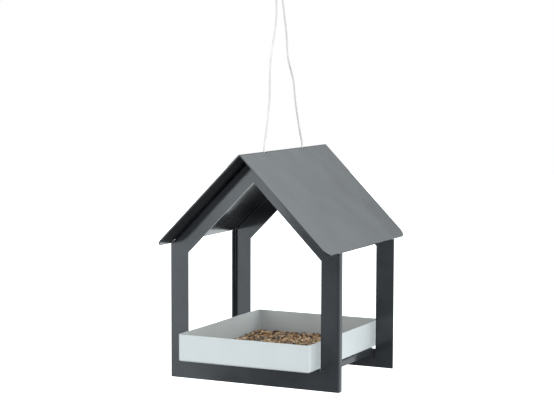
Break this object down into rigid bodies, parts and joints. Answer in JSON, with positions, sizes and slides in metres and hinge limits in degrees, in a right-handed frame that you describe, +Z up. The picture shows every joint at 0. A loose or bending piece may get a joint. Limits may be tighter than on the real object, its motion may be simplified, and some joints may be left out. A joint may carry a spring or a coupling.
{
  "type": "bird feeder",
  "caption": "Hanging open bird feeder shaped like a small gabled house: two folded sheet-steel gable frames, a folded roof, a pull-out seed tray and a cord loop.",
  "frame": {"origin": "on the middle plane, at the inside top of the cord's loop, where it lies on its hook", "axes": "+Z up, the feeder hangs down from the origin; -Y is the front, where the tray draws out; X is across the gables; the roof's ridge runs along Y"},
  "size_m": [0.2024, 0.216, 0.4302],
  "materials": {
    "anthracite_coat": "semi-gloss powder coat on sheet steel",
    "pale_grey_coat": "satin powder coat on sheet steel",
    "mixed_seed": "loose dry mixed bird seed",
    "white_cord": "braided matt cord",
    "black_zinc": "black zinc-plated"
  },
  "bodies": {
    "house": {"roof_sheet": "anthracite_coat", "front_gable_frame": "anthracite_coat", "back_gable_frame": "anthracite_coat", "base_pan": "anthracite_coat", "hanging_cord": "white_cord", "front_cord_knot": "white_cord", "back_cord_knot": "white_cord", "roof_stud_front_right_1": "black_zinc", "roof_stud_front_right_2": "black_zinc", "roof_stud_front_left_1": "black_zinc", "roof_stud_front_left_2": "black_zinc", "roof_stud_back_right_1": "black_zinc", "roof_stud_back_right_2": "black_zinc", "roof_stud_back_left_1": "black_zinc", "roof_stud_back_left_2": "black_zinc", "roof_nut_front_right_1": "black_zinc", "roof_nut_front_right_2": "black_zinc", "roof_nut_front_left_1": "black_zinc", "roof_nut_front_left_2": "black_zinc", "roof_nut_back_right_1": "black_zinc", "roof_nut_back_right_2": "black_zinc", "roof_nut_back_left_1": "black_zinc", "roof_nut_back_left_2": "black_zinc", "base_stud_1": "black_zinc", "base_stud_2": "black_zinc", "base_stud_3": "black_zinc", "base_stud_4": "black_zinc", "base_nut_1": "black_zinc", "base_nut_2": "black_zinc", "base_nut_3": "black_zinc", "base_nut_4": "black_zinc"},
    "tray": {"seed_tray": "pale_grey_coat", "seed_bed": "mixed_seed"}
  },
  "joints": [
    {"name": "tray_slide", "type": "slide", "parent": "house", "child": "tray", "axis": [0, -1, 0], "range_m": [-0.0256, 0.15]}
  ]
}
